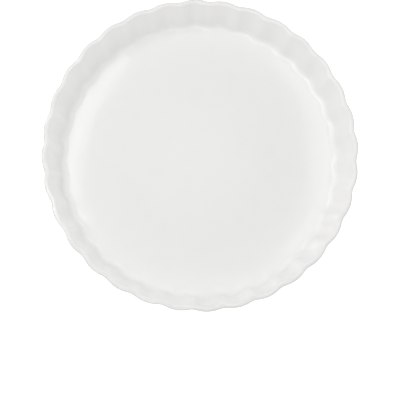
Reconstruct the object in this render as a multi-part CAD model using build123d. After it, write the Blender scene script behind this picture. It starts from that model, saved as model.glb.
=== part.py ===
"""A round porcelain quiche dish with a fluted, outward-sloping wall.

The origin is the middle of the plane that the dish stands on, and +Z points up. One crest of
the flutes lies on +X. Lengths are in millimetres.

The dish is one fired casting. Its three solids are the bare casting, the glaze that covers all
of it but the foot ring, and the patch of glaze underneath that the foot ring cuts off.
"""
from build123d import *
from math import atan2, cos, hypot, pi, radians, sin, tan
import os

# Size of the whole dish, over the crests of the flutes
FLUTES = 32
HEIGHT = 41.5
RIM_RADIUS = 150.0
BASE_RADIUS = 142.5

# How far each valley lies inside the crests, and the radius that a valley is rounded to
RIM_FLUTE_DEPTH = 1.9
BASE_FLUTE_DEPTH = 2.3
INNER_RIM_FLUTE_DEPTH = 2.2
INNER_BASE_FLUTE_DEPTH = 2.7
VALLEY_RADIUS = 18.0
INNER_VALLEY_RADIUS = 16.0

# Thickness with the glaze: the wall level across its crests, and the floor
RIM_WALL = 4.6
BASE_WALL = 6.3
FLOOR_THICKNESS = 4.0

# Rounded edges, and the share of the room for them that they may take
RIM_ROUND = 2.2
INNER_CORNER_ROUND = 6.0
OUTER_CORNER_ROUND = 2.4
LARGEST_ROUND_SHARE = 0.98

# Foot ring, the only bare porcelain, which stands inside the rounded corner of the wall
FOOT_HEIGHT = 1.0
FOOT_WIDTH = 4.0
FOOT_MARGIN = 1.6
FOOT_ROUND = 0.3
FOOT_LEAN = radians(20)

# Glaze
GLAZE = 0.3

# Heights and angles that follow
FLOOR_Z = FOOT_HEIGHT + FLOOR_THICKNESS
WALL_HEIGHT = HEIGHT - FOOT_HEIGHT
PITCH = 2 * pi / FLUTES
INNER_RIM_RADIUS = RIM_RADIUS - RIM_WALL
INNER_BASE_RADIUS = BASE_RADIUS - BASE_WALL
OUTER_SLOPE = atan2(RIM_RADIUS - BASE_RADIUS, WALL_HEIGHT)
INNER_SLOPE = atan2(INNER_RIM_RADIUS - INNER_BASE_RADIUS, WALL_HEIGHT)


def up_the_wall(base_size, rim_size, height):
    """A size that changes evenly from the wall's base to its rim, at a height."""
    return base_size + (rim_size - base_size) * (height - FOOT_HEIGHT) / WALL_HEIGHT


def polar(radius, angle, height):
    """A point at a radius and an angle round the dish's axis."""
    return Vector(radius * cos(angle), radius * sin(angle), height)


def crest_arc_radius(crest, valley, valley_radius):
    """The radius of the arc that touches the crest circle on the crest's own line from the axis,
    and runs smoothly into the valley arcs beside it."""
    reach = valley + valley_radius
    across = reach * cos(PITCH / 2)
    surplus = crest**2 - valley_radius**2 + reach**2 - 2 * crest * across
    return surplus / (2 * (crest + valley_radius - across))


def flute_line(height, crest, depth, valley_radius):
    """A closed level line of tangent arcs: one broad outward arc for each crest, and one
    narrower inward arc for each valley."""
    valley = crest - depth
    crest_radius = crest_arc_radius(crest, valley, valley_radius)
    crest_centre = polar(crest - crest_radius, 0, height)
    valley_centre = polar(valley + valley_radius, PITCH / 2, height)
    meeting = crest_centre + (valley_centre - crest_centre).normalized() * crest_radius
    meeting_radius = hypot(meeting.X, meeting.Y)
    meeting_angle = atan2(meeting.Y, meeting.X)
    arcs = []
    for flute in range(FLUTES):
        middle = flute * PITCH
        crest_start = polar(meeting_radius, middle - meeting_angle, height)
        crest_end = polar(meeting_radius, middle + meeting_angle, height)
        valley_end = polar(meeting_radius, middle + PITCH - meeting_angle, height)
        arcs.append(ThreePointArc(crest_start, polar(crest, middle, height), crest_end))
        arcs.append(ThreePointArc(crest_end, polar(valley, middle + PITCH / 2, height), valley_end))
    return Wire(arcs)


def outer_line(height, inset):
    """The outer flutes at a height, drawn in by an inset measured square to the wall."""
    level_inset = inset / cos(OUTER_SLOPE)
    crest = up_the_wall(BASE_RADIUS, RIM_RADIUS, height) - level_inset
    depth = up_the_wall(BASE_FLUTE_DEPTH, RIM_FLUTE_DEPTH, height)
    return flute_line(height, crest, depth, VALLEY_RADIUS + level_inset)


def inner_line(height, inset):
    """The inner flutes at a height, let out by an inset measured square to the wall."""
    level_inset = inset / cos(INNER_SLOPE)
    crest = up_the_wall(INNER_BASE_RADIUS, INNER_RIM_RADIUS, height) + level_inset
    depth = up_the_wall(INNER_BASE_FLUTE_DEPTH, INNER_RIM_FLUTE_DEPTH, height)
    return flute_line(height, crest, depth, INNER_VALLEY_RADIUS - level_inset)


def corner_reach(slope):
    """How far a rounding of radius 1 reaches along a level face, from its corner with a wall
    that leans away from the face by a slope."""
    return 1 / tan((pi / 2 + slope) / 2)


def rim_round():
    """The rounding of both edges of the rim: as named, or as much as the wall's top can hold."""
    valley_wall = RIM_WALL + INNER_RIM_FLUTE_DEPTH - RIM_FLUTE_DEPTH
    room = min(RIM_WALL, valley_wall) / (corner_reach(-OUTER_SLOPE) + corner_reach(INNER_SLOPE))
    return min(RIM_ROUND, LARGEST_ROUND_SHARE * room)


def inner_corner_round():
    """The rounding between wall and floor: as named, or as much as the tightest crest can hold."""
    base_valley = INNER_BASE_RADIUS - INNER_BASE_FLUTE_DEPTH
    room = crest_arc_radius(INNER_BASE_RADIUS, base_valley, INNER_VALLEY_RADIUS)
    return min(INNER_CORNER_ROUND, LARGEST_ROUND_SHARE * room)


def dish_form(inset):
    """The dish without its foot ring, with every face set back by an inset."""
    top = HEIGHT - inset
    floor = FLOOR_Z - inset
    underside = FOOT_HEIGHT + inset
    outside = Solid.make_loft([outer_line(underside, inset), outer_line(top, inset)], ruled=True)
    hollow = Solid.make_loft([inner_line(floor, inset), inner_line(top, inset)], ruled=True)
    form = outside - hollow
    form = fillet(form.edges().group_by(Axis.Z)[1], inner_corner_round() + inset)
    form = fillet(form.edges().group_by(Axis.Z)[0], OUTER_CORNER_ROUND - inset)
    return fillet(form.edges().group_by(Axis.Z)[-1], rim_round() - inset)


def foot_ring():
    """The bare ring that the dish stands on: its flanks lean in to a level land with rounded
    edges, and its root runs up into the floor."""
    corner = OUTER_CORNER_ROUND * corner_reach(OUTER_SLOPE)
    outer = BASE_RADIUS - BASE_FLUTE_DEPTH - corner - FOOT_MARGIN
    inner = outer - FOOT_WIDTH
    lean = FOOT_HEIGHT * tan(FOOT_LEAN)
    root = FOOT_HEIGHT + FLOOR_THICKNESS / 2
    with BuildPart() as ring:
        with BuildSketch(Plane.XZ):
            with BuildLine():
                Polyline((inner, root), (inner, FOOT_HEIGHT), (inner + lean, 0),
                         (outer - lean, 0), (outer, FOOT_HEIGHT), (outer, root), close=True)
            make_face()
        revolve(axis=Axis.Z)
        fillet(ring.edges().group_by(Axis.Z)[0], FOOT_ROUND)
    return ring.part


def save(shape, node):
    """Write a node's file, and say how large the solid is."""
    shape.label = node
    export_step(shape, f"parts/{node}.step")
    size = shape.bounding_box().size
    print(f"{node}: {shape.volume:.0f} mm3, {size.X:.2f} x {size.Y:.2f} x {size.Z:.2f} mm")


porcelain_body = dish_form(GLAZE) + foot_ring()
glaze = dish_form(0) - porcelain_body
underside_glaze, glaze_coat = glaze.solids().sort_by(lambda layer: layer.bounding_box().size.Z)

os.makedirs("parts", exist_ok=True)
save(porcelain_body, "porcelain_body")
save(glaze_coat, "glaze_coat")
save(underside_glaze, "underside_glaze")
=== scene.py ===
# %% [markdown]
# # A fluted porcelain quiche dish
# This notebook dresses a round white baking dish: a low wall pressed into 32 flutes, a rounded
# rim, a flat floor, and glaze over everything but the narrow ring that it stands on. The shape is
# already fixed by a CAD model, which is loaded first as a frame that nothing here may move. All
# lengths are in metres, +Z points up, and the origin is the middle of the plane it stands on.

# %% Load the frame
from math import atan2, cos, pi, radians, sin, tan

import bpy
import numpy as np
from mathutils import Matrix, Vector


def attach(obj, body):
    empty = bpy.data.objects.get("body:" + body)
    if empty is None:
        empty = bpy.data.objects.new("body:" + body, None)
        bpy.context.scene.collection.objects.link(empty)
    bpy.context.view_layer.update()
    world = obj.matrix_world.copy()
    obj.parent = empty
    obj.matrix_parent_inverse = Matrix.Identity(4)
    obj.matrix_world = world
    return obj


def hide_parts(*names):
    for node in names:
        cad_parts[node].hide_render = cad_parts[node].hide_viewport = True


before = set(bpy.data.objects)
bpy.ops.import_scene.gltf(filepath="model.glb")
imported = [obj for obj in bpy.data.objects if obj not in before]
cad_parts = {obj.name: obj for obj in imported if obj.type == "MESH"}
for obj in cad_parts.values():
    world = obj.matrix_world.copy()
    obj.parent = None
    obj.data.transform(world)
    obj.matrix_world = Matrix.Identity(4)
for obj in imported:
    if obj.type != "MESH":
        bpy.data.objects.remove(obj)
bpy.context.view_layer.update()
print("solids in the frame:", ", ".join(sorted(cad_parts)))

# %% [markdown]
# ## Sizes
# These are the sizes that the dish was drawn from. The loaded solids are cut into flat triangles,
# and a glossy glaze would show every one of them, so each skin is worked out again from these
# sizes as a formula that is smooth all the way round.

# %% Sizes of the dish
MM = 0.001
FLUTES = 32
PITCH = 2 * pi / FLUTES
HEIGHT = 41.5 * MM
FOOT_HEIGHT = 1.0 * MM
WALL_HEIGHT = HEIGHT - FOOT_HEIGHT
FLOOR_Z = 5.0 * MM
GLAZE = 0.3 * MM
GLAZE_EDGE = 0.6 * MM

OUTSIDE = dict(base=142.5 * MM, rim=150.0 * MM, base_depth=2.3 * MM, rim_depth=1.9 * MM,
               valley_radius=18.0 * MM, into_wall=-1)
INSIDE = dict(base=136.2 * MM, rim=145.4 * MM, base_depth=2.7 * MM, rim_depth=2.2 * MM,
              valley_radius=16.0 * MM, into_wall=1)
for side in (OUTSIDE, INSIDE):
    side["slope"] = atan2(side["rim"] - side["base"], WALL_HEIGHT)

RIM_ROUND = 2.2 * MM
INNER_CORNER_ROUND = 6.0 * MM
OUTER_CORNER_ROUND = 2.4 * MM

FOOT_MARGIN = 1.6 * MM
FOOT_OUTER = (OUTSIDE["base"] - OUTSIDE["base_depth"] - FOOT_MARGIN
              - OUTER_CORNER_ROUND / tan((pi / 2 + OUTSIDE["slope"]) / 2))
FOOT_WIDTH = 4.0 * MM
FOOT_ROUND = 0.3 * MM
FOOT_LEAN = radians(20)

print("the wall leans out by", [round(s["slope"] * 180 / pi, 1) for s in (OUTSIDE, INSIDE)])

# %% [markdown]
# ## The outline of the flutes
# Seen from above, each flute is a broad outward arc, and each valley between two of them is an
# inward arc that it runs into without a corner. A sine wave would be quicker to write, but its
# crests and valleys come out alike, and on the real dish they don't. So the outline is made of
# tangent arcs, and its radius is solved for every angle at once with numpy.

# %% One row of radii for each crest
SAMPLES_PER_FLUTE = 20
ANGLES = np.arange(FLUTES * SAMPLES_PER_FLUTE) * (PITCH / SAMPLES_PER_FLUTE)
FROM_CREST = np.abs((ANGLES + PITCH / 2) % PITCH - PITCH / 2)
FROM_VALLEY = PITCH / 2 - FROM_CREST


def fluted_radius(crest, depth, valley_radius):
    """Radius of the outline at every angle, one row for each crest radius that is given.

    With r1 the radius of a crest's arc and a the distance of its centre from the axis, a ray at
    angle t from the crest meets it at a cos t + sqrt(r1^2 - a^2 sin^2 t). With r2 and b the same
    for a valley, a ray at angle u from the valley meets it at b cos u - sqrt(r2^2 - b^2 sin^2 u).
    The arcs touch where the line through their two centres leaves the crest's arc.
    """
    crest, depth, r2 = (np.asarray(v, float)[:, None] for v in (crest, depth, valley_radius))
    b = crest - depth + r2
    across, aside = b * cos(PITCH / 2), b * sin(PITCH / 2)
    r1 = (crest**2 - r2**2 + b**2 - 2 * crest * across) / (2 * (crest + r2 - across))
    a = crest - r1
    share = r1 / np.hypot(across - a, aside)
    meeting = np.arctan2(share * aside, a + share * (across - a))
    crest_chord = np.sqrt(np.maximum(r1**2 - (a * np.sin(FROM_CREST))**2, 0))
    valley_chord = np.sqrt(np.maximum(r2**2 - (b * np.sin(FROM_VALLEY))**2, 0))
    crest_arc = a * np.cos(FROM_CREST) + crest_chord
    valley_arc = b * np.cos(FROM_VALLEY) - valley_chord
    return np.where(FROM_CREST < meeting, crest_arc, valley_arc)


def up_the_wall(base, rim, height):
    """A size that changes evenly up the wall: its base value plus its share of the rise."""
    return base + (rim - base) * (np.asarray(height, float) - FOOT_HEIGHT) / WALL_HEIGHT


def wall_rows(side, crest, height):
    """Rows of radii on one side of the wall, for crests given at each height.

    Where a crest stands off the wall's own straight line, as on a rounded edge, both arcs keep
    their centres and the valley's radius gives up that distance: an even offset of the outline.
    """
    offset = crest - up_the_wall(side["base"], side["rim"], height)
    depth = up_the_wall(side["base_depth"], side["rim_depth"], height)
    return fluted_radius(crest, depth, side["valley_radius"] - offset)


print(len(ANGLES), "points round each level line")

# %% [markdown]
# ## The section of the wall
# The same section serves three surfaces: the outer face of the glaze, the face where the glaze
# meets the casting, 0.3 mm further in, and so the casting itself. It runs from the middle of the
# floor outwards, up the inside, over the rim and down to the ring that the dish stands on. Each
# rounded edge is an arc about a centre that lies one radius inside both of its faces.

# %% Arcs and straight runs of the section
# Each rounded edge gets SKIN_ROWS rows on the glaze and CORE_ROWS on the hidden face under it. The
# floor's first row lies at FLOOR_START of its radius. The rows are round in the middle, and take
# up the flutes near the wall, by their share of the radius to the power of FLUTES_FADE.
SKIN_ROWS, CORE_ROWS = 14, 8
FLOOR_START = 0.01
FLUTES_FADE = 6


def straight_share(steps):
    """Shares of a straight run that crowd towards both ends: (1 - cos(pi t)) / 2, without its ends.

    Rows that lie close to an edge keep the shading of the flat part flat."""
    t = np.arange(1, steps) / steps
    return (1 - np.cos(pi * t)) / 2


def line_crest(side, inset, height):
    """Crest of one side's straight wall, set back square to the wall by the inset."""
    level_inset = side["into_wall"] * inset / cos(side["slope"])
    return up_the_wall(side["base"], side["rim"], height) + level_inset


def edge_arc(side, inset, centre_height, reach, radius, start, end, steps):
    """Crests and heights on a rounded edge: the centre lies at the reach from the wall, and the
    points at centre + radius (cos phi, sin phi), with phi running from start to end."""
    phi = np.linspace(start, end, steps)
    centre = line_crest(side, inset + reach, centre_height)
    return centre + radius * np.cos(phi), centre_height + radius * np.sin(phi)


def dish_section(inset, detail, end_radius):
    """Radii and heights of one skin of the dish, as rows from the floor to a radius underneath.

    The inset is how far every face is set back, and the detail is how many rows an edge gets."""
    top, floor, under = HEIGHT - inset, FLOOR_Z - inset, FOOT_HEIGHT + inset
    lip, hollow, corner = RIM_ROUND - inset, INNER_CORNER_ROUND + inset, OUTER_CORNER_ROUND - inset
    rise = straight_share(detail // 2)

    fillet = edge_arc(INSIDE, inset, floor + hollow, -hollow, hollow,
                      -pi / 2, -INSIDE["slope"], detail)
    inner_lip = edge_arc(INSIDE, inset, top - lip, lip, lip, pi - INSIDE["slope"], pi / 2, detail)
    outer_lip = edge_arc(OUTSIDE, inset, top - lip, lip, lip, pi / 2, -OUTSIDE["slope"], detail)
    base = edge_arc(OUTSIDE, inset, under + corner, corner, corner,
                    -OUTSIDE["slope"], -pi / 2, detail)

    up = fillet[1][-1] + (inner_lip[1][0] - fillet[1][-1]) * rise
    down = outer_lip[1][-1] + (base[1][0] - outer_lip[1][-1]) * rise
    inner = [fillet, (line_crest(INSIDE, inset, up), up), inner_lip]
    outer = [outer_lip, (line_crest(OUTSIDE, inset, down), down), base]
    inner_rows = wall_rows(INSIDE, *map(np.concatenate, zip(*inner)))
    outer_rows = wall_rows(OUTSIDE, *map(np.concatenate, zip(*outer)))

    share = np.concatenate([[FLOOR_START], straight_share(detail)])[:, None]
    fluted = share**FLUTES_FADE
    floor_rows = share * (fluted * inner_rows[0] + (1 - fluted) * inner_rows[0].mean())
    share = np.append(straight_share(detail // 2), 1)[:, None]
    under_rows = outer_rows[-1] + share * (end_radius - outer_rows[-1])

    radii = np.concatenate([floor_rows, inner_rows, outer_rows, under_rows])
    heights = np.concatenate([np.full(len(floor_rows), floor),
                              *(piece[1] for piece in inner + outer),
                              np.full(len(under_rows), under)])
    return radii, heights


skin_radii, skin_heights = dish_section(0, SKIN_ROWS, FOOT_OUTER + GLAZE_EDGE)
core_radii, core_heights = dish_section(GLAZE, CORE_ROWS, FOOT_OUTER)
print(len(skin_heights), "rows on the glaze,", len(core_heights), "rows under it")

# %% [markdown]
# ## From rows to a closed solid
# Every piece here is turned about the dish's axis, so a piece is a grid: rows along the section,
# and columns round the axis. Blender's Spin would give the same for a plain bowl, but it can't
# follow flutes. The grid is closed round the axis by joining its last column to its first, and at
# both ends of the section by one point on the axis, so that no seam or hole is left.

# %% A grid turned about the axis
SHARP_FROM = radians(35)


def turned_solid(name, radii, heights):
    """A closed mesh with the points x = r cos a, y = r sin a, z = height, and a point at each end.

    Rows run from the upper end to the lower end. Column a turns anticlockwise, so each face goes
    (row, a), (next row, a), (next row, next a), (row, next a), and its normal points outwards.
    """
    rows, columns = radii.shape
    grid = np.stack([radii * np.cos(ANGLES), radii * np.sin(ANGLES),
                     np.broadcast_to(heights[:, None], radii.shape)], axis=-1).reshape(-1, 3)
    ends = np.array([[0, 0, heights[0]], [0, 0, heights[-1]]])
    points = np.concatenate([grid, ends])

    row, column = np.meshgrid(np.arange(rows - 1), np.arange(columns), indexing="ij")
    after = (column + 1) % columns
    quads = np.stack([row * columns + column, (row + 1) * columns + column,
                      (row + 1) * columns + after, row * columns + after], axis=-1).reshape(-1, 4)
    here = np.arange(columns)
    beside = (here + 1) % columns
    last = (rows - 1) * columns
    upper_fan = np.stack([np.full(columns, rows * columns), here, beside], axis=-1)
    lower_fan = np.stack([np.full(columns, rows * columns + 1), last + beside, last + here],
                         axis=-1)

    mesh = bpy.data.meshes.new(name)
    corners = np.concatenate([quads.ravel(), upper_fan.ravel(), lower_fan.ravel()])
    sizes = np.concatenate([np.full(len(quads), 4), np.full(2 * columns, 3)])
    mesh.vertices.add(len(points))
    mesh.vertices.foreach_set("co", points.astype(np.float32).ravel())
    mesh.loops.add(len(corners))
    mesh.loops.foreach_set("vertex_index", corners.astype(np.int32))
    mesh.polygons.add(len(sizes))
    mesh.polygons.foreach_set("loop_start", (np.cumsum(sizes) - sizes).astype(np.int32))
    mesh.update(calc_edges=True)
    mesh.validate()
    mesh.shade_smooth()
    mesh.set_sharp_from_angle(angle=SHARP_FROM)
    piece = bpy.data.objects.new(name, mesh)
    bpy.context.scene.collection.objects.link(piece)
    print(name, "has", len(quads) * 2 + 2 * columns, "triangles")
    return piece


# %% [markdown]
# ## The glaze, the casting and the patch underneath
# Glaze is a coat of glass about 0.3 mm thick. It covers the inside, the rim and the outside, and
# is wiped off the foot ring before firing, which cuts off a round patch of it underneath. Where
# glaze stops, it doesn't end in a square step: its edge rounds off against the bare clay.

# %% The glaze coat
# The rows of the rounded edge crowd towards the bare clay, where the edge is steepest. They turn
# through EDGE_TURN of a quarter circle.
EDGE_ROWS = 8
EDGE_TURN = radians(80)


def rounded_glaze_edge(radii, edge):
    """How far the glaze rises near its edge: its thickness times 1 - sqrt(1 - t^2), where t runs
    from 0 at one edge width away to 1 at the edge."""
    t = 1 - np.abs(radii - edge) / GLAZE_EDGE
    return GLAZE * (1 - np.sqrt(1 - t**2))


def ring_rows(radii):
    """The same radius at every angle, one row for each radius."""
    return np.repeat(np.asarray(radii, float)[:, None], len(ANGLES), axis=1)


edge_share = 1 - np.sin(np.linspace(0, EDGE_TURN, EDGE_ROWS))
coat_edge = FOOT_OUTER + GLAZE_EDGE * edge_share
coat_radii = np.concatenate([skin_radii[:-1], ring_rows(coat_edge), core_radii[::-1]])
coat_heights = np.concatenate([
    skin_heights[:-1], FOOT_HEIGHT + rounded_glaze_edge(coat_edge, FOOT_OUTER), core_heights[::-1]])
coat = turned_solid("glaze_coat_skin", coat_radii, coat_heights)
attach(coat, "root")
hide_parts("glaze_coat")

# %% The bare casting
FOOT_INNER = FOOT_OUTER - FOOT_WIDTH
FOOT_LEAN_WIDTH = FOOT_HEIGHT * tan(FOOT_LEAN)
FOOT_EDGE_ROWS = 6

# Rows of the level underside within the foot ring, as shares of the ring's inner radius
UNDERSIDE_SHARES = (0.95, 0.5, 0.05)


def foot_section(steps):
    """Radii and heights round the foot ring: down its outer flank, which leans in by the lean
    angle, round an edge, across the land, round the other edge and up the inner flank."""
    reach = FOOT_ROUND / tan((pi / 2 + FOOT_LEAN) / 2)
    phi = np.linspace(-FOOT_LEAN, -pi / 2, steps)
    outer_r = FOOT_OUTER - FOOT_LEAN_WIDTH - reach + FOOT_ROUND * np.cos(phi)
    outer_z = FOOT_ROUND + FOOT_ROUND * np.sin(phi)
    inner_r = FOOT_OUTER + FOOT_INNER - outer_r[::-1]
    radii = np.concatenate([[FOOT_OUTER, FOOT_OUTER], outer_r, inner_r, [FOOT_INNER, FOOT_INNER]])
    under = FOOT_HEIGHT + GLAZE
    heights = np.concatenate([[under, FOOT_HEIGHT], outer_z, outer_z[::-1], [FOOT_HEIGHT, under]])
    return ring_rows(radii), heights


foot_radii, foot_heights = foot_section(FOOT_EDGE_ROWS)
underside = FOOT_INNER * np.array(UNDERSIDE_SHARES)
casting = turned_solid(
    "bare_casting",
    np.concatenate([core_radii[:-1], foot_radii, ring_rows(underside)]),
    np.concatenate([core_heights[:-1], foot_heights,
                    np.full(len(underside), FOOT_HEIGHT + GLAZE)]))
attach(casting, "root")
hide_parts("porcelain_body")

# %% The patch of glaze underneath
# Rows of the patch's hidden top, against the casting, and of its face, as shares of its radius
PATCH_TOP_SHARES = (0.05, 0.5, 0.9, 1)
PATCH_FACE_SHARES = (0.99, 0.9, 0.5, 0.05)

patch_top = FOOT_INNER * np.array(PATCH_TOP_SHARES)
patch_edge = FOOT_INNER - GLAZE_EDGE * edge_share[::-1]
patch_face = FOOT_INNER * np.array(PATCH_FACE_SHARES)
patch = turned_solid(
    "underside_glaze_skin",
    ring_rows(np.concatenate([patch_top, patch_edge, patch_face])),
    np.concatenate([np.full(len(patch_top), FOOT_HEIGHT + GLAZE),
                    FOOT_HEIGHT + rounded_glaze_edge(patch_edge, FOOT_INNER),
                    np.full(len(patch_face), FOOT_HEIGHT)]))
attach(patch, "root")
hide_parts("underside_glaze")

# %% [markdown]
# ## Effects that several finishes share
# Fired clay and glaze have the same three kinds of small unevenness, in different strengths: a
# grain from the clay itself, rings from the wheel that the dish was pressed and wiped on, and the
# slow waver of a coat that has flowed. Each is a node group with named inputs, so that a finish
# only chooses sizes. All of them read Object coordinates, which are metres from the dish's middle.

# %% Helpers for node groups
def new_group(name, inputs, outputs):
    """A shader node group with float inputs and their values, a Vector input, and its outputs."""
    group = bpy.data.node_groups.new(name, "ShaderNodeTree")
    group.interface.new_socket("Vector", in_out="INPUT", socket_type="NodeSocketVector")
    for label, value in inputs.items():
        socket = group.interface.new_socket(label, in_out="INPUT", socket_type="NodeSocketFloat")
        socket.default_value = value
    for label in outputs:
        group.interface.new_socket(label, in_out="OUTPUT", socket_type="NodeSocketFloat")
    return group, group.nodes.new("NodeGroupInput"), group.nodes.new("NodeGroupOutput")


def maths(tree, operation, first, second=None, clamp=False):
    """A maths node in a tree. Each input is a socket or a number, and the result is its output."""
    node = tree.nodes.new("ShaderNodeMath")
    node.operation, node.use_clamp = operation, clamp
    for socket, value in zip(node.inputs, (first, second)):
        if isinstance(value, bpy.types.NodeSocket):
            tree.links.new(value, socket)
        elif value is not None:
            socket.default_value = value
    return node.outputs[0]


def noise(tree, vector, size, detail, dimensions="3D"):
    """Noise with lumps of the given size in metres, from 0 to 1."""
    node = tree.nodes.new("ShaderNodeTexNoise")
    node.noise_dimensions = dimensions
    node.inputs["Detail"].default_value = detail
    tree.links.new(vector, node.inputs["W" if dimensions == "1D" else "Vector"])
    tree.links.new(maths(tree, "DIVIDE", 1.0, size), node.inputs["Scale"])
    return node.outputs["Fac"]


def spots(tree, vector, spacing, share):
    """A mask of round spots, one in each cell of the given spacing: 1 in the middle of the cell,
    and 0 beyond a share of its size."""
    node = tree.nodes.new("ShaderNodeTexVoronoi")
    tree.links.new(vector, node.inputs["Vector"])
    tree.links.new(maths(tree, "DIVIDE", 1.0, spacing), node.inputs["Scale"])
    distance = maths(tree, "DIVIDE", node.outputs["Distance"], share)
    return maths(tree, "SUBTRACT", 1.0, distance, clamp=True)


# %% The grain of fired clay
GRAIN_DETAIL = 6

tree, given, result = new_group(
    "fired_grain", {"Grain Size": 0.8 * MM, "Speck Spacing": 9 * MM, "Speck Share": 0.05},
    ("Grain", "Specks"))
vector = given.outputs["Vector"]
tree.links.new(noise(tree, vector, given.outputs["Grain Size"], GRAIN_DETAIL),
               result.inputs["Grain"])
tree.links.new(spots(tree, vector, given.outputs["Speck Spacing"], given.outputs["Speck Share"]),
               result.inputs["Specks"])
fired_grain = tree

# %% Rings from the wheel
WITHOUT_HEIGHT = (1, 1, 0)
WANDER_SIZE = 40 * MM
WANDER_DETAIL = 2
RING_DETAIL = 3

tree, given, result = new_group(
    "turning_rings", {"Ring Width": 1.6 * MM, "Wander": 0.6 * MM}, ("Rings",))
vector = given.outputs["Vector"]
flat = tree.nodes.new("ShaderNodeVectorMath")
flat.operation = "MULTIPLY"
flat.inputs[1].default_value = WITHOUT_HEIGHT
tree.links.new(vector, flat.inputs[0])
from_axis = tree.nodes.new("ShaderNodeVectorMath")
from_axis.operation = "LENGTH"
tree.links.new(flat.outputs["Vector"], from_axis.inputs[0])
wandering = maths(tree, "MULTIPLY", noise(tree, vector, WANDER_SIZE, WANDER_DETAIL),
                  given.outputs["Wander"])
radius = maths(tree, "ADD", from_axis.outputs["Value"], wandering)
tree.links.new(noise(tree, radius, given.outputs["Ring Width"], RING_DETAIL, "1D"),
               result.inputs["Rings"])
turning_rings = tree

# %% The waver of a coat that has flowed
FLOW_DETAIL = 1.5
PEEL_DETAIL = 1
PINHOLE_SHARE = 0.012

tree, given, result = new_group(
    "glaze_waver", {"Flow Size": 30 * MM, "Peel Size": 2.2 * MM, "Pinhole Spacing": 24 * MM},
    ("Flow", "Peel", "Pinholes"))
vector = given.outputs["Vector"]
tree.links.new(noise(tree, vector, given.outputs["Flow Size"], FLOW_DETAIL),
               result.inputs["Flow"])
tree.links.new(noise(tree, vector, given.outputs["Peel Size"], PEEL_DETAIL),
               result.inputs["Peel"])
tree.links.new(spots(tree, vector, given.outputs["Pinhole Spacing"], PINHOLE_SHARE),
               result.inputs["Pinholes"])
glaze_waver = tree
print("groups:", ", ".join(group.name for group in bpy.data.node_groups))

# %% [markdown]
# ## How thick the glaze lies, and where light and shade are painted
# Glaze runs while it is molten. It draws thin over the outer shoulder of the rim, where the clay
# behind it shows a little warmer and darker, and pools where the wall meets the floor, where it
# covers whitest. The darker shoulder is also painted shade of the rim's outward-facing edge, and
# the whiter corner is also painted light, standing in for light bounced into the corner. A shader
# can't see where these lie, but the grid knows where each of its rows lies, so the depth, with
# the painted light and shade, is written to the mesh as an attribute that the finish reads.

# %% Depth of the glaze, and painted light and shade, on each point
# The bell at the foot of the inner wall marks pooled glaze and painted light; the one at the rim's
# outer shoulder marks thin glaze and painted shade.
EVEN_DEPTH = 0.5
POOL_AND_PAINTED_LIGHT_REACH = 6 * MM
SHOULDER = 1.2 * MM
THIN_AND_PAINTED_SHADE_REACH = 3.0 * MM


def closeness(radii, heights, side, at_height, reach):
    """A bell round a level line on one side of the wall: exp(-(d / reach)^2), where d is the
    distance from the line to a point of the section at the same angle."""
    level = np.array([at_height])
    line = wall_rows(side, line_crest(side, 0, level), level)
    return np.exp(-(np.hypot(radii - line, heights[:, None] - at_height) / reach)**2)


def glaze_depth_painted_light_and_shade(radii, heights):
    """0 where the glaze is thin and shade is painted, 0.5 where it is even, 1 where it pools and
    light
    is painted: 0.5 plus half the bell at the foot of the inner wall, for pooled glaze and painted
    light, less half the bell at the rim's outer shoulder, for thin glaze and painted shade."""
    pooled_and_painted_light = closeness(radii, heights, INSIDE, FLOOR_Z, POOL_AND_PAINTED_LIGHT_REACH)
    thinned_and_painted_shade = closeness(radii, heights, OUTSIDE, HEIGHT - SHOULDER, THIN_AND_PAINTED_SHADE_REACH)
    return EVEN_DEPTH + 0.5 * pooled_and_painted_light - 0.5 * thinned_and_painted_shade


def write_attribute(piece, name, values, ends):
    """Stores one value for each point of a turned solid: the rows' values, then its two ends'."""
    attribute = piece.data.attributes.new(name, "FLOAT", "POINT")
    attribute.data.foreach_set("value", np.append(values.ravel(), ends).astype(np.float32))
    print(name, "runs from", round(float(values.min()), 2), "to", round(float(values.max()), 2))


# The attribute holds the glaze's depth, and with it where light and shade are painted.
write_attribute(coat, "glaze_depth_painted_light_and_shade", glaze_depth_painted_light_and_shade(coat_radii, coat_heights),
                (EVEN_DEPTH, EVEN_DEPTH))

# %% [markdown]
# ## Finishes
# White porcelain under clear glaze is almost one colour. What makes it read as glaze is the
# gloss: a sharp reflection that wavers slightly, because fired glass is never quite flat. The
# bare foot ring is the opposite, a chalky clay that scatters all light and holds no reflection.

# %% A material and the nodes that every finish starts with
def new_finish(name):
    """A material with its Principled shader, and the Object coordinates that its patterns read."""
    material = bpy.data.materials.new(name)
    material.use_nodes = True
    tree = material.node_tree
    place = tree.nodes.new("ShaderNodeTexCoord").outputs["Object"]
    return material, tree, tree.nodes["Principled BSDF"], place


def add_group(tree, group, place, **values):
    """Places a shared effect in a material, with its own values for the group's inputs."""
    node = tree.nodes.new("ShaderNodeGroup")
    node.node_tree = group
    tree.links.new(place, node.inputs["Vector"])
    for label, value in values.items():
        node.inputs[label.replace("_", " ")].default_value = value
    return node.outputs


def blend_colours(tree, share, first, second):
    """A colour between two colours, by a share from 0 to 1. Each colour is a socket or a tuple."""
    node = tree.nodes.new("ShaderNodeMix")
    node.data_type = "RGBA"
    tree.links.new(share, node.inputs["Factor"])
    for socket, colour in ((node.inputs["A"], first), (node.inputs["B"], second)):
        if isinstance(colour, bpy.types.NodeSocket):
            tree.links.new(colour, socket)
        else:
            socket.default_value = (*colour, 1)
    return node.outputs["Result"]


def between(tree, value, low, high):
    """A value from 0 to 1, spread between a low and a high number: low + value (high - low)."""
    return maths(tree, "ADD", maths(tree, "MULTIPLY", value, high - low), low)


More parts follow.
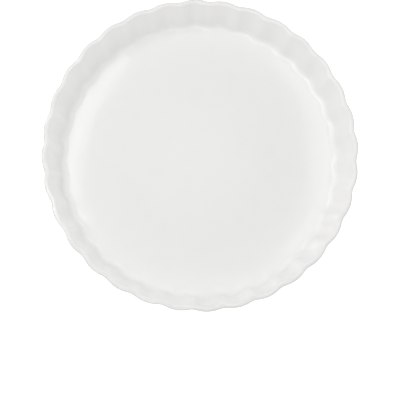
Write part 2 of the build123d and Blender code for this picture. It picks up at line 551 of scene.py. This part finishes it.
def raise_surface(tree, shader, heights, *effects):
    """Bump from the outputs of shared effects: each times its height in metres, added together."""
    masks = {output.name: output for outputs in effects for output in outputs}
    total = 0.0
    for label, height in heights.items():
        total = maths(tree, "ADD", maths(tree, "MULTIPLY", masks[label], height), total)
    bump = tree.nodes.new("ShaderNodeBump")
    bump.inputs["Distance"].default_value = 1.0
    tree.links.new(total, bump.inputs["Height"])
    tree.links.new(bump.outputs["Normal"], shader.inputs["Normal"])


# %% The glaze inside and out
# A warm grey for the rim's outer shoulder: partly thin glaze over the clay, partly painted shade of
# that outward-facing edge.
THIN_GLAZE_AND_PAINTED_SHADE = (0.70, 0.69, 0.67)
EVEN_WHITE = (0.852, 0.85, 0.842)
# A whiter white for the inner corner: partly pooled glaze, partly painted light standing in for
# light bounced into the corner.
POOLED_AND_PAINTED_LIGHT_WHITE = (0.87, 0.869, 0.861)
SPECK = (0.62, 0.58, 0.52)
SPECK_STRENGTH = 0.6
DEPTH_WAVER = 0.1
GLAZE_ROUGHNESS = (0.03, 0.06)
GLAZE_HEIGHTS = dict(Flow=0.25 * MM, Peel=0.0012 * MM, Pinholes=-0.03 * MM, Rings=0.004 * MM)

white_glaze, tree, shader, place = new_finish("white_glaze")
grain = add_group(tree, fired_grain, place, Grain_Size=14 * MM, Speck_Spacing=26 * MM,
                  Speck_Share=0.011)
waver = add_group(tree, glaze_waver, place)
rings = add_group(tree, turning_rings, place, Ring_Width=6 * MM)
# The attribute read here says where the glaze is thin or pooled, and so where shade and light are
# painted.
depth = tree.nodes.new("ShaderNodeAttribute")
depth.attribute_name = "glaze_depth_painted_light_and_shade"
doubled = maths(tree, "ADD", maths(tree, "MULTIPLY", depth.outputs["Fac"], 2.0),
                between(tree, grain["Grain"], -DEPTH_WAVER, DEPTH_WAVER))
# The whiter corner is partly pooled glaze and partly painted light.
pooled_and_painted_light = maths(tree, "SUBTRACT", doubled, 1.0, clamp=True)
# The darker shoulder is partly thin glaze and partly painted shade.
thinned_and_painted_shade = maths(tree, "SUBTRACT", 1.0, doubled, clamp=True)
colour = blend_colours(tree, pooled_and_painted_light, EVEN_WHITE, POOLED_AND_PAINTED_LIGHT_WHITE)
colour = blend_colours(tree, thinned_and_painted_shade, colour, THIN_GLAZE_AND_PAINTED_SHADE)
specks = maths(tree, "MULTIPLY", grain["Specks"], SPECK_STRENGTH)
colour = blend_colours(tree, specks, colour, SPECK)
tree.links.new(colour, shader.inputs["Base Color"])
tree.links.new(between(tree, waver["Flow"], *GLAZE_ROUGHNESS), shader.inputs["Roughness"])
raise_surface(tree, shader, GLAZE_HEIGHTS, waver, rings)
coat.data.materials.append(white_glaze)
print(white_glaze.name, "has", len(tree.nodes), "nodes")

# %% The thinner glaze underneath
UNDERSIDE_SPECKS = 0.7
UNDERSIDE_ROUGHNESS = (0.1, 0.2)
UNDERSIDE_HEIGHTS = dict(Flow=0.15 * MM, Peel=0.002 * MM, Pinholes=-0.04 * MM, Rings=0.03 * MM)

underside_glaze, tree, shader, place = new_finish("underside_glaze")
grain = add_group(tree, fired_grain, place, Grain_Size=10 * MM, Speck_Spacing=15 * MM,
                  Speck_Share=0.02)
waver = add_group(tree, glaze_waver, place, Flow_Size=18 * MM, Pinhole_Spacing=12 * MM)
rings = add_group(tree, turning_rings, place, Ring_Width=2.5 * MM)
# Here the whiter white is only a random tone that follows the grain.
colour = blend_colours(tree, grain["Grain"], EVEN_WHITE, POOLED_AND_PAINTED_LIGHT_WHITE)
specks = maths(tree, "MULTIPLY", grain["Specks"], UNDERSIDE_SPECKS)
colour = blend_colours(tree, specks, colour, SPECK)
tree.links.new(colour, shader.inputs["Base Color"])
tree.links.new(between(tree, waver["Flow"], *UNDERSIDE_ROUGHNESS), shader.inputs["Roughness"])
raise_surface(tree, shader, UNDERSIDE_HEIGHTS, waver, rings)
patch.data.materials.append(underside_glaze)
print(underside_glaze.name, "has", len(tree.nodes), "nodes")

# %% The bare clay of the foot ring
BARE_LIGHT = (0.80, 0.78, 0.74)
BARE_DARK = (0.72, 0.69, 0.64)
RUBBED = (0.55, 0.53, 0.50)
RUBBED_HEIGHT = 0.12 * MM
SMUDGE_SIZE = 16 * MM
SMUDGE_DETAIL = 4
BARE_ROUGHNESS = (0.65, 0.85)
BARE_HEIGHTS = dict(Grain=0.05 * MM, Rings=0.04 * MM)

bare_clay, tree, shader, place = new_finish("bare_fired_clay")
grain = add_group(tree, fired_grain, place, Grain_Size=0.7 * MM, Speck_Spacing=4 * MM,
                  Speck_Share=0.05)
rings = add_group(tree, turning_rings, place, Ring_Width=0.35 * MM, Wander=1.5 * MM)
smudges = noise(tree, place, SMUDGE_SIZE, SMUDGE_DETAIL)
height = tree.nodes.new("ShaderNodeSeparateXYZ")
tree.links.new(place, height.inputs[0])
on_land = maths(tree, "LESS_THAN", height.outputs["Z"], RUBBED_HEIGHT)
rub_marks = maths(tree, "MULTIPLY", smudges, rings["Rings"])
rubbed = maths(tree, "MULTIPLY", on_land, rub_marks, clamp=True)
colour = blend_colours(tree, grain["Grain"], BARE_DARK, BARE_LIGHT)
colour = blend_colours(tree, rubbed, colour, RUBBED)
colour = blend_colours(tree, grain["Specks"], colour, SPECK)
tree.links.new(colour, shader.inputs["Base Color"])
tree.links.new(between(tree, grain["Grain"], *BARE_ROUGHNESS), shader.inputs["Roughness"])
raise_surface(tree, shader, BARE_HEIGHTS, grain, rings)
casting.data.materials.append(bare_clay)
print(bare_clay.name, "has", len(tree.nodes), "nodes")

# %% [markdown]
# ## Studio
# The dish lies on white paper in a bright room. A white thing on white paper shows only by small
# steps of tone, so the light is almost even. The room gives most of it: some from everywhere, more
# from overhead, which keeps the floor of the dish level in tone, and more from low down, which
# fills the inside of the wall. Lamps alone would need a great many to be this soft, so the room is
# the world's own light, worked out from the direction that a ray leaves in.
#
# What the camera sees of the paper and the room, straight or mirrored in the glaze, is plain white
# however they light the dish. For other light the paper is a mid grey, so that the outside of the
# wall doesn't glow from below and the rim stands out from the white. The paper's own glow is kept
# low, which leaves room for the dish's shadow on it.

# %% The white paper
GROUND_SIZE = 6.0
PAPER_GREY = (0.4, 0.4, 0.4)
PAPER_WHITE = (1.0, 1.0, 1.0)
PAPER_GLOW = 0.4
PAPER_ROUGHNESS = 0.9
WHITE_LIGHT = (1, 1, 1, 1)


def seen_directly(tree):
    """1 for what the camera sees, straight or mirrored in gloss or glass, and 0 for other light."""
    path = tree.nodes.new("ShaderNodeLightPath").outputs
    mirrored = maths(tree, "MAXIMUM", path["Is Glossy Ray"], path["Is Transmission Ray"])
    return maths(tree, "MAXIMUM", path["Is Camera Ray"], mirrored)


edge = GROUND_SIZE / 2
paper_mesh = bpy.data.meshes.new("paper")
paper_mesh.from_pydata([(-edge, -edge, 0), (edge, -edge, 0), (edge, edge, 0), (-edge, edge, 0)],
                       [], [(0, 1, 2, 3)])
paper = bpy.data.objects.new("paper", paper_mesh)
bpy.context.scene.collection.objects.link(paper)

white_paper, tree, shader, _ = new_finish("white_paper")
direct = seen_directly(tree)
tree.links.new(blend_colours(tree, direct, PAPER_GREY, PAPER_WHITE), shader.inputs["Base Color"])
tree.links.new(maths(tree, "MULTIPLY", direct, PAPER_GLOW), shader.inputs["Emission Strength"])
shader.inputs["Emission Color"].default_value = WHITE_LIGHT
shader.inputs["Roughness"].default_value = PAPER_ROUGHNESS
paper.data.materials.append(white_paper)
print("the paper is", GROUND_SIZE, "m wide")

# %% The bright room
ROOM_LIGHT = 0.49
OVERHEAD_LIGHT = 0.55
OVERHEAD_FROM, OVERHEAD_FULL = 0.84, 0.92
SIDE_LIGHT, END_LIGHT = 1.28, 0.91
RIGHT_EXTRA = 0.18
LOW_LIGHT_MIDDLE = 0.25

room = bpy.data.worlds.new("room")
room.use_nodes = True
bpy.context.scene.world = room
tree = room.node_tree
background = tree.nodes["Background"]
background.inputs["Color"].default_value = WHITE_LIGHT
direction = tree.nodes.new("ShaderNodeSeparateXYZ")
tree.links.new(tree.nodes.new("ShaderNodeTexCoord").outputs["Generated"], direction.inputs[0])
sideways, endways = (maths(tree, "ABSOLUTE", direction.outputs[axis]) for axis in "XY")
height = direction.outputs["Z"]

# Low light is strongest at a height of LOW_LIGHT_MIDDLE, where straight up is 1, and gone at 0 and
# at twice that height. Front and back give END_LIGHT, and the sides SIDE_LIGHT, with RIGHT_EXTRA
# more on the right and as much less on the left.
from_middle = maths(tree, "ABSOLUTE", maths(tree, "SUBTRACT", height, LOW_LIGHT_MIDDLE))
away = maths(tree, "DIVIDE", from_middle, LOW_LIGHT_MIDDLE)
lowness = maths(tree, "SUBTRACT", 1.0, away, clamp=True)
around = maths(tree, "ADD", maths(tree, "MULTIPLY", sideways, SIDE_LIGHT),
               maths(tree, "MULTIPLY", endways, END_LIGHT))
around = maths(tree, "ADD", maths(tree, "MULTIPLY", direction.outputs["X"], RIGHT_EXTRA), around)
above = maths(tree, "DIVIDE", maths(tree, "SUBTRACT", height, OVERHEAD_FROM),
              OVERHEAD_FULL - OVERHEAD_FROM, clamp=True)
light = maths(tree, "ADD", maths(tree, "MULTIPLY", lowness, around), ROOM_LIGHT)
light = maths(tree, "ADD", maths(tree, "MULTIPLY", above, OVERHEAD_LIGHT), light)
direct = seen_directly(tree)
unseen = maths(tree, "MULTIPLY", maths(tree, "SUBTRACT", 1.0, direct), light)
tree.links.new(maths(tree, "ADD", direct, unseen), background.inputs["Strength"])
print("the room's light has", len(tree.nodes), "nodes")

# %% [markdown]
# ## Lamps
# A softbox hangs to the left of the camera and leaves the left wall in shade. It is kept out of
# the gloss, where a screen takes its place further down. A small lamp beside it draws bright dots
# where the glaze turns: in the inner corner on the right, and on the rim. Two more lamps are there
# for their mirror images in the flutes. A small square one, further back on the left, gives the
# pale panels at the lower right. A long low bar, like the gap under a blind, gives the fine bright
# streaks. It shows only in gloss, so that it adds no light to the dish.

# %% Softbox, small lamps and window bar
def area_lamp(name, place, size, brightness, facing=(0, 0, -1)):
    """A flat lamp that shines along its facing, straight down if none is given. Its watts are its
    brightness times its area times pi, where a brightness of 1 looks like white paper in full
    light."""
    data = bpy.data.lights.new(name, "AREA")
    data.shape = "RECTANGLE"
    data.size, data.size_y = size
    data.energy = brightness * size[0] * size[1] * pi
    lamp = bpy.data.objects.new(name, data)
    bpy.context.scene.collection.objects.link(lamp)
    lamp.location = place
    lamp.rotation_euler = Vector(facing).to_track_quat("-Z", "Y").to_euler()
    lamp.visible_camera = False
    print(name, "gives", round(data.energy, 2), "W")
    return lamp


softbox = area_lamp("softbox", place=(-0.66, 0.1, 1.5), size=(0.62, 1.0), brightness=1.9)
softbox.visible_glossy = False
area_lamp("small_lamp", place=(-0.49, 0.0, 1.41), size=(0.12, 0.12), brightness=30.0)
area_lamp("side_lamp", place=(-0.75, 0.56, 1.5), size=(0.32, 0.32), brightness=8.0)
window_bar = area_lamp("window_bar", place=(-1.5, 0.1, 0.45), size=(2.4, 0.06),
                       brightness=20.0, facing=(1, 0, -0.3))
window_bar.visible_diffuse = False

# %% [markdown]
# ## What the glaze mirrors
# A mirror image in glaze shows the shape of what it mirrors, and what the floor of this dish
# mirrors is round: a paler crescent along each side of it. So two screens of lit cloth with round,
# hollow edges hang at the left and right. On the left a narrow hoop also runs round to the front.
# The floor never mirrors the hoop, but the inner corner on the right turns far enough, and draws
# it out into one thin bright line that follows the flutes. A lamp can't be round like this, so all
# three are meshes that glow, and like the bar they show only in gloss. Towards a soft edge they
# fade to the white of the room.

# %% Round screens and hoop
SECTOR_HEIGHT = 1.5
SECTOR_STEPS = 48
BLACK = (0, 0, 0, 1)


def glowing_sector(name, middle, radii, shares, degrees, glow):
    """A flat level ring sector that shines: points at middle + radius (cos a, sin a), one row for
    each radius. Its strength is 1 where a row's share is 0, and the glow where it is 1."""
    angle = np.radians(np.linspace(*degrees, SECTOR_STEPS + 1))
    outwards = np.stack([np.cos(angle), np.sin(angle)], axis=-1)
    level = np.array(middle) + np.array(radii)[:, None, None] * outwards
    rows, columns = level.shape[:2]
    raised = np.full((rows, columns, 1), SECTOR_HEIGHT)
    points = np.concatenate([level, raised], axis=-1).reshape(-1, 3)
    row, column = np.meshgrid(np.arange(rows - 1), np.arange(SECTOR_STEPS), indexing="ij")
    first = row * columns + column
    quads = np.stack([first, first + 1, first + columns + 1, first + columns],
                     axis=-1).reshape(-1, 4)
    mesh = bpy.data.meshes.new(name)
    mesh.from_pydata(points.tolist(), [], quads.tolist())
    sector = bpy.data.objects.new(name, mesh)
    bpy.context.scene.collection.objects.link(sector)
    sector.visible_camera = sector.visible_diffuse = sector.visible_shadow = False
    attribute = mesh.attributes.new("glow_share", "FLOAT", "POINT")
    attribute.data.foreach_set("value", np.repeat(shares, columns).astype(np.float32))

    material, tree, shader, _ = new_finish(name)
    share = tree.nodes.new("ShaderNodeAttribute")
    share.attribute_name = "glow_share"
    tree.links.new(between(tree, share.outputs["Fac"], 1.0, glow),
                   shader.inputs["Emission Strength"])
    shader.inputs["Base Color"].default_value = BLACK
    shader.inputs["Emission Color"].default_value = WHITE_LIGHT
    mesh.materials.append(material)
    print(name, "has", len(quads), "faces")


glowing_sector("right_screen", middle=(-0.175, 0.262), radii=(0.52, 0.55, 1.3),
               shares=(0, 1, 1), degrees=(-60, 60), glow=1.9)
glowing_sector("left_screen", middle=(0.09, 0.26), radii=(0.43, 0.48, 1.1),
               shares=(0, 1, 1), degrees=(140, 212), glow=3.2)
glowing_sector("hoop", middle=(0, 0), radii=(0.75, 0.95),
               shares=(1, 1), degrees=(130, 290), glow=12.0)

# %% [markdown]
# ## Camera
# The photo looks down into the dish from nearly straight above, a little from the front. The
# camera's place, its aim, its twist about its own line of sight and its lens were fitted to the
# rim and the floor in the photo. Blender's own camera tools keep a camera level, so its axes are
# worked out here and written as a matrix: right, up and backwards, and then its place.

# %% Camera
CAMERA_PLACE = Vector((-0.00487, -0.131565, 0.698172))
CAMERA_AIM = Vector((0.005921, -0.045849, 0.0399))
CAMERA_TWIST = radians(8.8242)
SENSOR_WIDTH_MM = 36
LENS_MM = 64.02

camera_data = bpy.data.cameras.new("camera")
camera_data.sensor_width = SENSOR_WIDTH_MM
camera_data.lens = LENS_MM
camera = bpy.data.objects.new("camera", camera_data)
bpy.context.scene.collection.objects.link(camera)
forward = (CAMERA_AIM - CAMERA_PLACE).normalized()
right = forward.cross(Vector((0, 1, 0))).normalized()
up = right.cross(forward)
turned_right = right * cos(CAMERA_TWIST) + up * sin(CAMERA_TWIST)
turned_up = turned_right.cross(forward)
camera.matrix_world = Matrix((
    (turned_right.x, turned_up.x, -forward.x, CAMERA_PLACE.x),
    (turned_right.y, turned_up.y, -forward.y, CAMERA_PLACE.y),
    (turned_right.z, turned_up.z, -forward.z, CAMERA_PLACE.z),
    (0, 0, 0, 1)))
bpy.context.scene.camera = camera
bpy.context.scene.view_settings.view_transform = "Standard"
print("the camera stands", round((CAMERA_AIM - CAMERA_PLACE).length, 3), "m from its aim")

# %% [markdown]
# ## The end
# The skins have to keep to the size of the solids. The scene is brought up to date at the end.

# %% The end
bpy.context.view_layer.update()
